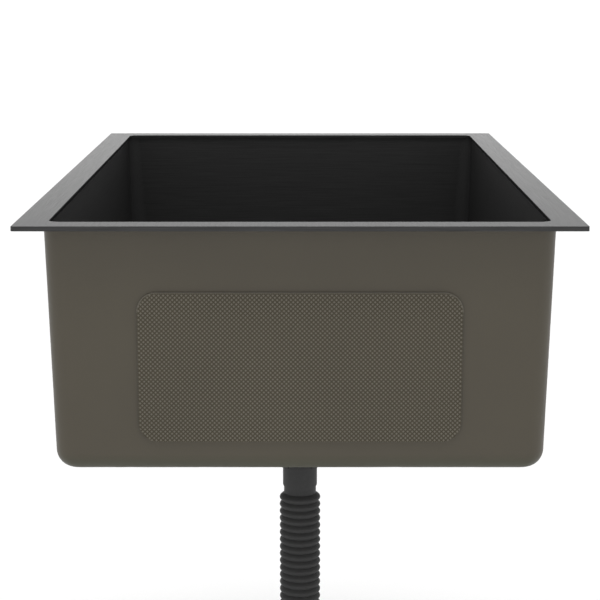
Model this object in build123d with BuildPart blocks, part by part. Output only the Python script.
"""Single-bowl stainless kitchen sink with a basket strainer and a corrugated drain hose.

Millimetres, +Z up. The origin is the middle of the rim's underside, where the rim rests on a worktop.
X runs along the short side of the rim and Y along the long side.
"""

import math
import os

from build123d import *

os.makedirs("parts", exist_ok=True)

# Rim: a flat plate round the bowl
rim_width = 440.0
rim_length = 750.0
rim_thickness = 3.8
rim_corner = 2.0
rim_edge_round = 0.4
flange = 25.0
opening_corner = 10.0

# Bowl: one drawn sheet whose top edge is welded into a rebate under the rim
sheet = 1.2
reveal = 2.2
bowl_depth = 194.0
draft = 1.6
bowl_corner = 12.0
floor_corner = 22.0
floor_round = 14.0
rebate_depth = 0.5
rebate_gap = 0.4

# Floor: four flat fields fall to a square landing with a round recess for the strainer
floor_fall = 3.0
floor_margin = 3.0
landing_margin = 8.0
recess_depth = 2.4
recess_gap = 3.5
drain_hole_gap = 3.0

# Sprayed coating and sound pads on the outside of the bowl
coating = 0.9
bare_ring = 12.0
pad_thickness = 3.0
pad_corner = 16.0
pad_edge_round = 0.7
wall_pad_height = 120.5
wall_pad_drop = 51.0
end_pad_width = 254.0
side_pad_width = 480.0
floor_pad_width = 250.0
floor_pad_length = 170.0

# Strainer body, with its gaskets and lock nut
flange_radius = 56.5
flange_thickness = 1.2
flange_round = 0.5
gasket_thickness = 1.0
cup_radius = 39.5
cup_wall = 1.5
cup_depth = 48.0
cup_floor = 2.0
cup_round = 6.0
mouth_round = 2.0
outlet_bore = 17.5
outlet_wall = 3.0
outlet_length = 32.0
cross_drop = 9.0
cross_height = 3.0
cross_wall = 1.5
cross_gap = 0.1
spoke_width = 3.0
spoke_count = 4
hub_radius = 7.0
thread_gap = 0.8
under_gasket_thickness = 3.0
friction_ring_thickness = 1.0
lock_nut_height = 12.0
lock_nut_wall = 6.0
lock_nut_collar = 4.0
lock_nut_radius = 57.0
lock_nut_lugs = 8
lug_width = 9.0

# Union nut and washer that hold the hose to the outlet
union_nut_height = 26.0
union_nut_wall = 3.6
union_lip = 3.5
union_grips = 12
grip_width = 3.6
grip_stand = 1.4
washer_thickness = 2.0

# Corrugated hose: a collar, a smooth cuff, a neck, the ribs and a smooth stub
collar_thickness = 2.5
collar_gap = 0.4
cuff_radius = 16.9
cuff_length = 28.0
cuff_gap = 0.5
shoulder = 1.7
neck_radius = 15.85
neck_length = 5.2
neck_flare = 3.8
rib_crest = 20.2
rib_valley = 17.5
rib_pitch = 7.35
rib_flank = 2.0
rib_flat = 2.0
rib_count = 36
stub_radius = 18.2
stub_length = 42.0
hose_bore = 14.0

# End cuff that plugs into a waste pipe, with its seal ring
end_socket_depth = 30.0
end_socket_wall = 3.0
end_socket_gap = 0.3
end_pin_radius = 19.05
end_pin_length = 38.0
end_pin_chamfer = 2.0
seal_width = 5.0
seal_depth = 1.5
seal_stand = 0.8
seal_setback = 12.0

# Basket: perforated cup, centre post, grip knob and rubber stopper
seat_gap = 0.3
stopper_radius = 25.0
stopper_thickness = 4.0
stopper_chamfer = 1.5
washer_radius = 12.0
washer_height = 1.0
basket_sheet = 0.8
basket_floor_radius = 28.0
basket_mouth_radius = 36.0
basket_height = 30.0
basket_round = 3.0
basket_lip = 1.6
basket_lip_height = 1.6
basket_lip_round = 0.6
wall_slots = 16
wall_slot_width = 3.0
wall_slot_height = 15.0
floor_holes = 10
floor_hole_radius = 2.5
floor_hole_ring = 19.5
post_radius = 3.0
post_collar_radius = 5.5
post_collar_height = 3.0
post_gap = 0.2
knob_radius = 11.0
knob_stem = 5.0
knob_edge = 1.0
knob_dome = 2.5
knob_sink = 5.0
nut_radius = 5.5
nut_sides = 6
nut_height = 4.0
post_tip = 3.0
hub_gap = 0.6

# Plan sizes and heights that follow from the sizes above
opening_width = rim_width - 2 * flange
opening_length = rim_length - 2 * flange
mouth_width = opening_width + 2 * reveal
mouth_length = opening_length + 2 * reveal
lean = math.tan(math.radians(draft))
floor_top = -bowl_depth
landing_top = floor_top - floor_fall
recess_floor = landing_top - recess_depth
recess_radius = flange_radius + recess_gap
landing_side = 2 * (recess_radius + landing_margin)
cup_outer = cup_radius + cup_wall
drain_hole_radius = cup_outer + drain_hole_gap
bare_radius = recess_radius + sheet + bare_ring
skin = sheet + coating

flange_bottom = recess_floor + gasket_thickness
flange_top = flange_bottom + flange_thickness
cup_inside = flange_top - cup_depth
cup_underside = cup_inside - cup_floor
outlet_outer = outlet_bore + outlet_wall
outlet_end = cup_underside - outlet_length
cross_top = cup_underside - cross_drop
recess_underside = recess_floor - sheet
friction_ring_top = recess_underside - under_gasket_thickness
lock_nut_top = friction_ring_top - friction_ring_thickness

collar_radius = outlet_outer - collar_gap
hose_top = outlet_end - washer_thickness
collar_bottom = hose_top - collar_thickness
union_bottom = collar_bottom - union_lip
union_bore = outlet_outer + thread_gap
union_outer = union_bore + union_nut_wall
cuff_bottom = hose_top - cuff_length
neck_top = cuff_bottom - shoulder
neck_bottom = neck_top - neck_length
ribs_top = neck_bottom - neck_flare
ribs_bottom = ribs_top - rib_count * rib_pitch
hose_end = ribs_bottom - stub_length
socket_top = hose_end + end_socket_depth
pin_end = hose_end - end_pin_length
seal_top = hose_end - seal_setback

stopper_bottom = cup_inside + seat_gap
washer_bottom = stopper_bottom + stopper_thickness
basket_bottom = washer_bottom + washer_height
basket_floor_top = basket_bottom + basket_sheet
basket_top = basket_bottom + basket_height
knob_bottom = basket_top - knob_sink
knob_flare = knob_radius - knob_stem
knob_edge_bottom = knob_bottom + knob_flare
knob_edge_top = knob_edge_bottom + knob_edge
knob_top = knob_edge_top + knob_dome
nut_bottom = stopper_bottom - nut_height
post_end = cross_top - post_tip


def save(piece, name):
    """Labels a finished piece and writes it as one file."""
    piece.part.label = name
    export_step(piece.part, f"parts/{name}.step")


def half_at(mouth, height, grow):
    """Half the bowl's width or length at a height, on a skin that lies grow outside the inner face."""
    return mouth / 2 + grow + height * lean


def tub(grow, top):
    """Drafted tub with rounded corners: the bowl's inner face moved outwards by grow."""
    levels = ((top, bowl_corner), (floor_top - grow, floor_corner))
    with BuildPart() as form:
        for height, corner in levels:
            with BuildSketch(Plane.XY.offset(height)):
                width = 2 * half_at(mouth_width, height, grow)
                length = 2 * half_at(mouth_length, height, grow)
                RectangleRounded(width, length, corner + grow)
        loft(ruled=True)
        fillet(form.faces().sort_by(Axis.Z)[0].edges(), floor_round + grow)
    return form.part


def floor_fields(grow):
    """Shallow pyramid under the floor, from just inside the floor's rounding to the drain landing."""
    inset = 2 * (floor_round + floor_margin)
    width = 2 * half_at(mouth_width, floor_top, 0) - inset
    length = 2 * half_at(mouth_length, floor_top, 0) - inset
    with BuildPart() as form:
        with BuildSketch(Plane.XY.offset(floor_top - grow)):
            Rectangle(width, length)
        with BuildSketch(Plane.XY.offset(landing_top - grow)):
            Rectangle(landing_side, landing_side)
        loft(ruled=True)
    return form.part


def corner_of(profile, across, height):
    """Corner of a profile that lies nearest to a place on the profile's own plane."""
    return profile.vertices().sort_by_distance((across, height))[0]


def disc(radius, bottom, top):
    """Round plug on the drain axis between two heights."""
    with BuildPart() as form:
        with BuildSketch(Plane.XY.offset(bottom)):
            Circle(radius)
        extrude(amount=top - bottom)
    return form.part


def ring(inner, outer, bottom, top):
    """Flat ring on the drain axis between two heights."""
    with BuildPart() as form:
        with BuildSketch(Plane.XY.offset(bottom)):
            Circle(outer)
            Circle(inner, mode=Mode.SUBTRACT)
        extrude(amount=top - bottom)
    return form


inner_tub = tub(0, rebate_depth)
steel_tub = tub(sheet, rebate_depth)
coated_tub = tub(skin, 0)
padded_tub = tub(skin + pad_thickness, 0)
inner_fields = floor_fields(0)
steel_fields = floor_fields(sheet)
coated_fields = floor_fields(skin)
padded_fields = floor_fields(skin + pad_thickness)
recess_plug = disc(recess_radius, recess_floor, landing_top)
recess_shell = disc(recess_radius + sheet, recess_underside, landing_top - sheet)
bare_plug = disc(bare_radius, recess_underside, floor_top)

# Rim plate, with the opening and the rebate that takes the bowl's edge
with BuildPart() as rim_frame:
    with BuildSketch():
        RectangleRounded(rim_width, rim_length, rim_corner)
        RectangleRounded(opening_width, opening_length, opening_corner, mode=Mode.SUBTRACT)
    extrude(amount=rim_thickness)
    with BuildSketch():
        rebate_width = mouth_width + 2 * (skin + rebate_gap)
        rebate_length = mouth_length + 2 * (skin + rebate_gap)
        RectangleRounded(rebate_width, rebate_length, bowl_corner + skin + rebate_gap)
    extrude(amount=rebate_depth, mode=Mode.SUBTRACT)
    fillet(rim_frame.faces().sort_by(Axis.Z)[-1].edges(), rim_edge_round)
save(rim_frame, "rim_frame")

# Bowl sheet, with the falling floor, the strainer recess and the drain hole
with BuildPart() as bowl:
    add(steel_tub)
    add(steel_fields)
    add(recess_shell)
    add(inner_tub, mode=Mode.SUBTRACT)
    add(inner_fields, mode=Mode.SUBTRACT)
    add(recess_plug, mode=Mode.SUBTRACT)
    with BuildSketch(Plane.XY.offset(recess_underside)):
        Circle(drain_hole_radius)
    extrude(amount=bowl_depth, mode=Mode.SUBTRACT)
save(bowl, "bowl")

# Sprayed coating over the outside of the sheet, left off round the drain
with BuildPart() as undercoat:
    add(coated_tub)
    add(coated_fields)
    add(steel_tub, mode=Mode.SUBTRACT)
    add(steel_fields, mode=Mode.SUBTRACT)
    add(bare_plug, mode=Mode.SUBTRACT)
save(undercoat, "undercoat")

# Sound pads on the four walls, lying on the coating
wall_pad_middle = -wall_pad_drop - wall_pad_height / 2
wall_pads = (
    ("sound_pad_front", -90, mouth_length, end_pad_width),
    ("sound_pad_right", 0, mouth_width, side_pad_width),
    ("sound_pad_back", 90, mouth_length, end_pad_width),
    ("sound_pad_left", 180, mouth_width, side_pad_width),
)
for name, turn, mouth, width in wall_pads:
    reach = half_at(mouth, wall_pad_middle, skin)
    out = Vector(1, 0, 0).rotate(Axis.Z, turn)
    face_out = Vector(1, 0, -lean).rotate(Axis.Z, turn)
    along = Vector(0, 1, 0).rotate(Axis.Z, turn)
    with BuildPart() as wall_pad:
        with BuildSketch(Plane(out * reach + Vector(0, 0, wall_pad_middle), along, face_out)):
            RectangleRounded(width, wall_pad_height, pad_corner)
        extrude(amount=pad_thickness)
        fillet(wall_pad.faces().sort_by(Axis(origin=(0, 0, 0), direction=out))[-1].edges(), pad_edge_round)
    save(wall_pad, name)

# Two pads under the floor that follow its fall, halfway between the drain and the end walls
floor_end = half_at(mouth_length, floor_top, 0) - floor_round
floor_pad_middle = (bare_radius + floor_end) / 2
for name, side in (("floor_pad_front", -1), ("floor_pad_back", 1)):
    with BuildPart() as floor_pad:
        with BuildSketch(Plane.XY.offset(floor_top)):
            with Locations((0, side * floor_pad_middle)):
                RectangleRounded(floor_pad_width, floor_pad_length, pad_corner)
        extrude(amount=-(floor_fall + skin + pad_thickness))
        add(padded_tub + padded_fields, mode=Mode.INTERSECT)
        add(coated_tub, mode=Mode.SUBTRACT)
        add(coated_fields, mode=Mode.SUBTRACT)
    save(floor_pad, name)

# Strainer body: flange and cup in one turned profile
with BuildPart() as strainer_cup:
    with BuildSketch(Plane.XZ) as cup_profile:
        with BuildLine():
            Polyline(
                (flange_radius, flange_top),
                (cup_radius, flange_top),
                (cup_radius, cup_inside),
                (outlet_bore, cup_inside),
                (outlet_bore, cup_underside),
                (cup_outer, cup_underside),
                (cup_outer, flange_bottom),
                (flange_radius, flange_bottom),
                close=True,
            )
        make_face()
        fillet(corner_of(cup_profile, cup_radius, cup_inside), cup_round)
        fillet(corner_of(cup_profile, cup_outer, cup_underside), cup_round + cup_wall)
        fillet(corner_of(cup_profile, cup_radius, flange_top), mouth_round)
        fillet(corner_of(cup_profile, flange_radius, flange_top), flange_round)
    revolve(axis=Axis.Z)
save(strainer_cup, "strainer_cup")

# Threaded outlet welded under the cup
outlet_spigot = ring(outlet_bore, outlet_outer, outlet_end, cup_underside)
save(outlet_spigot, "outlet_spigot")

# Guide cross pressed into the outlet: a ring, spokes and a hub for the basket's post
cross_radius = outlet_bore - cross_gap
with BuildPart() as outlet_cross:
    with BuildSketch(Plane.XY.offset(cross_top)):
        Circle(cross_radius)
        Circle(cross_radius - cross_wall, mode=Mode.SUBTRACT)
        with PolarLocations(0, spoke_count):
            Rectangle(cross_radius - cross_wall / 2, spoke_width, align=(Align.MIN, Align.CENTER))
        Circle(hub_radius)
        Circle(post_radius + hub_gap, mode=Mode.SUBTRACT)
    extrude(amount=-cross_height)
save(outlet_cross, "outlet_cross")

# Rings that seal and clamp the strainer to the bowl's floor
flange_gasket = ring(drain_hole_radius, flange_radius, recess_floor, flange_bottom)
save(flange_gasket, "flange_gasket")
under_gasket = ring(drain_hole_radius, lock_nut_radius, friction_ring_top, recess_underside)
save(under_gasket, "under_gasket")
friction_ring = ring(drain_hole_radius, lock_nut_radius, lock_nut_top, friction_ring_top)
save(friction_ring, "friction_ring")

# Lock nut: a collar that presses on the rings, a threaded skirt and lugs to turn it by
with BuildPart() as lock_nut:
    nut_bore = cup_outer + thread_gap
    with BuildSketch(Plane.XY.offset(lock_nut_top)):
        Circle(lock_nut_radius)
        Circle(nut_bore, mode=Mode.SUBTRACT)
    extrude(amount=-lock_nut_collar)
    with BuildSketch(Plane.XY.offset(lock_nut_top - lock_nut_collar)):
        with PolarLocations(0, lock_nut_lugs):
            Rectangle(lock_nut_radius - lock_nut_collar / 2, lug_width, align=(Align.MIN, Align.CENTER))
        Circle(nut_bore + lock_nut_wall)
        Circle(nut_bore, mode=Mode.SUBTRACT)
    extrude(amount=lock_nut_collar - lock_nut_height)
save(lock_nut, "lock_nut")

# Union nut: a threaded skirt with a lip under the hose's collar, and grips round it
with BuildPart() as union_nut:
    with BuildSketch(Plane.XY.offset(union_bottom)):
        Circle(union_outer)
        with PolarLocations(union_outer, union_grips):
            Rectangle(2 * grip_stand, grip_width)
        Circle(union_bore, mode=Mode.SUBTRACT)
    extrude(amount=union_nut_height)
    with BuildSketch(Plane.XY.offset(union_bottom)):
        Circle(union_outer)
        Circle(cuff_radius + cuff_gap, mode=Mode.SUBTRACT)
    extrude(amount=union_lip)
save(union_nut, "union_nut")

# Washer between the outlet and the hose's collar
hose_washer = ring(outlet_bore, collar_radius, hose_top, outlet_end)
save(hose_washer, "hose_washer")

# Drain hose: cuff and neck, then four circles for each rib, then a smooth stub
levels = [
    (hose_top, cuff_radius),
    (cuff_bottom, cuff_radius),
    (neck_top, neck_radius),
    (neck_bottom, neck_radius),
]
for rib in range(rib_count):
    top = ribs_top - rib * rib_pitch
    levels.append((top, rib_valley))
    levels.append((top - rib_flank, rib_crest))
    levels.append((top - rib_flank - rib_flat, rib_crest))
    levels.append((top - 2 * rib_flank - rib_flat, rib_valley))
levels.append((ribs_bottom, stub_radius))
levels.append((hose_end, stub_radius))
with BuildPart() as drain_hose:
    for height, radius in levels:
        with BuildSketch(Plane.XY.offset(height)):
            Circle(radius)
    loft(ruled=True)
    with BuildSketch(Plane.XY.offset(collar_bottom)):
        Circle(collar_radius)
    extrude(amount=collar_thickness)
    with BuildSketch(Plane.XY.offset(hose_end)):
        Circle(hose_bore)
    extrude(amount=hose_top - hose_end, mode=Mode.SUBTRACT)
save(drain_hose, "drain_hose")

# End cuff: a socket over the stub and a plug for the waste pipe, grooved for its seal
socket_bore = stub_radius + end_socket_gap
with BuildPart() as hose_end_cuff:
    with BuildSketch(Plane.XZ) as end_profile:
        with BuildLine():
            Polyline(
                (hose_bore, hose_end),
                (socket_bore, hose_end),
                (socket_bore, socket_top),
                (socket_bore + end_socket_wall, socket_top),
                (socket_bore + end_socket_wall, hose_end),
                (end_pin_radius, hose_end),
                (end_pin_radius, seal_top),
                (end_pin_radius - seal_depth, seal_top),
                (end_pin_radius - seal_depth, seal_top - seal_width),
                (end_pin_radius, seal_top - seal_width),
                (end_pin_radius, pin_end),
                (hose_bore, pin_end),
                close=True,
            )
        make_face()
        chamfer(corner_of(end_profile, end_pin_radius, pin_end), end_pin_chamfer)
    revolve(axis=Axis.Z)
save(hose_end_cuff, "hose_end_cuff")

# Seal ring in the end cuff's groove, with a raised middle
with BuildPart() as hose_end_seal:
    with BuildSketch(Plane.XZ):
        with BuildLine():
            Polyline(
                (end_pin_radius - seal_depth, seal_top),
                (end_pin_radius, seal_top),
                (end_pin_radius + seal_stand, seal_top - seal_width / 2),
                (end_pin_radius, seal_top - seal_width),
                (end_pin_radius - seal_depth, seal_top - seal_width),
                close=True,
            )
        make_face()
    revolve(axis=Axis.Z)
save(hose_end_seal, "hose_end_seal")

# Cutter for one upright slot in the basket's wall
slot_middle = (basket_floor_top + basket_top) / 2
with BuildPart() as slot_cutter:
    with BuildSketch(Plane.YZ.offset(basket_floor_radius / 2)):
        with Locations((0, slot_middle)):
            SlotOverall(wall_slot_height, wall_slot_width, rotation=90)
    extrude(amount=basket_mouth_radius)

# Basket: a tapered perforated cup with a rounded floor edge and a rolled lip
lip_bottom = basket_top - basket_lip_height
lip_radius = basket_mouth_radius + basket_lip
floor_inner = basket_floor_radius - basket_sheet
with BuildPart() as basket_cup:
    with BuildSketch(Plane.XZ) as basket_profile:
        with BuildLine():
            Polyline(
                (post_radius + post_gap, basket_bottom),
                (basket_floor_radius, basket_bottom),
                (basket_mouth_radius, lip_bottom),
                (lip_radius, lip_bottom),
                (lip_radius, basket_top),
                (basket_mouth_radius - basket_sheet, basket_top),
                (floor_inner, basket_floor_top),
                (post_radius + post_gap, basket_floor_top),
                close=True,
            )
        make_face()
        fillet(corner_of(basket_profile, basket_floor_radius, basket_bottom), basket_round)
        fillet(corner_of(basket_profile, floor_inner, basket_floor_top), basket_round - basket_sheet)
        fillet(corner_of(basket_profile, lip_radius, lip_bottom), basket_lip_round)
        fillet(corner_of(basket_profile, lip_radius, basket_top), basket_lip_round)
        fillet(corner_of(basket_profile, basket_mouth_radius - basket_sheet, basket_top), basket_lip_round)
    revolve(axis=Axis.Z)
    with BuildSketch(Plane.XY.offset(basket_bottom)):
        with PolarLocations(floor_hole_ring, floor_holes):
            Circle(floor_hole_radius)
    extrude(amount=basket_sheet, mode=Mode.SUBTRACT)
    with PolarLocations(0, wall_slots):
        add(slot_cutter.part, mode=Mode.SUBTRACT)
save(basket_cup, "basket_cup")

# Centre post: its collar stands on the basket's floor, its tip guides in the outlet cross
with BuildPart() as basket_post:
    with BuildSketch(Plane.XY.offset(post_end)):
        Circle(post_radius)
    extrude(amount=knob_bottom - post_end)
    with BuildSketch(Plane.XY.offset(basket_floor_top)):
        Circle(post_collar_radius)
    extrude(amount=post_collar_height)
save(basket_post, "basket_post")

# Knob on the post's upper end: a stem that flares to a domed head
dome_radius = (knob_radius**2 + knob_dome**2) / (2 * knob_dome)
dome_middle = knob_top - dome_radius
dome_start = math.degrees(math.atan2(knob_edge_top - dome_middle, knob_radius))
with BuildPart() as basket_knob:
    with BuildSketch(Plane.XZ):
        with BuildLine():
            Polyline((0, knob_top), (0, knob_bottom), (knob_stem, knob_bottom))
            CenterArc((knob_radius, knob_bottom), knob_flare, 90, 90)
            Line((knob_radius, knob_edge_bottom), (knob_radius, knob_edge_top))
            CenterArc((0, dome_middle), dome_radius, dome_start, 90 - dome_start)
        make_face()
    revolve(axis=Axis.Z)
save(basket_knob, "basket_knob")

# Rubber stopper that closes the outlet, its washer and the nut below
stopper_bore = post_radius + post_gap
with BuildPart() as basket_stopper:
    with BuildSketch(Plane.XY.offset(stopper_bottom)):
        Circle(stopper_radius)
        Circle(stopper_bore, mode=Mode.SUBTRACT)
    extrude(amount=stopper_thickness)
    lower_edges = basket_stopper.edges().group_by(Axis.Z)[0]
    chamfer(lower_edges.sort_by(SortBy.RADIUS)[-1], stopper_chamfer)
save(basket_stopper, "basket_stopper")
stopper_washer = ring(stopper_bore, washer_radius, washer_bottom, basket_bottom)
save(stopper_washer, "stopper_washer")
with BuildPart() as basket_nut:
    with BuildSketch(Plane.XY.offset(nut_bottom)):
        RegularPolygon(nut_radius, nut_sides)
        Circle(post_radius + post_gap, mode=Mode.SUBTRACT)
    extrude(amount=nut_height)
save(basket_nut, "basket_nut")
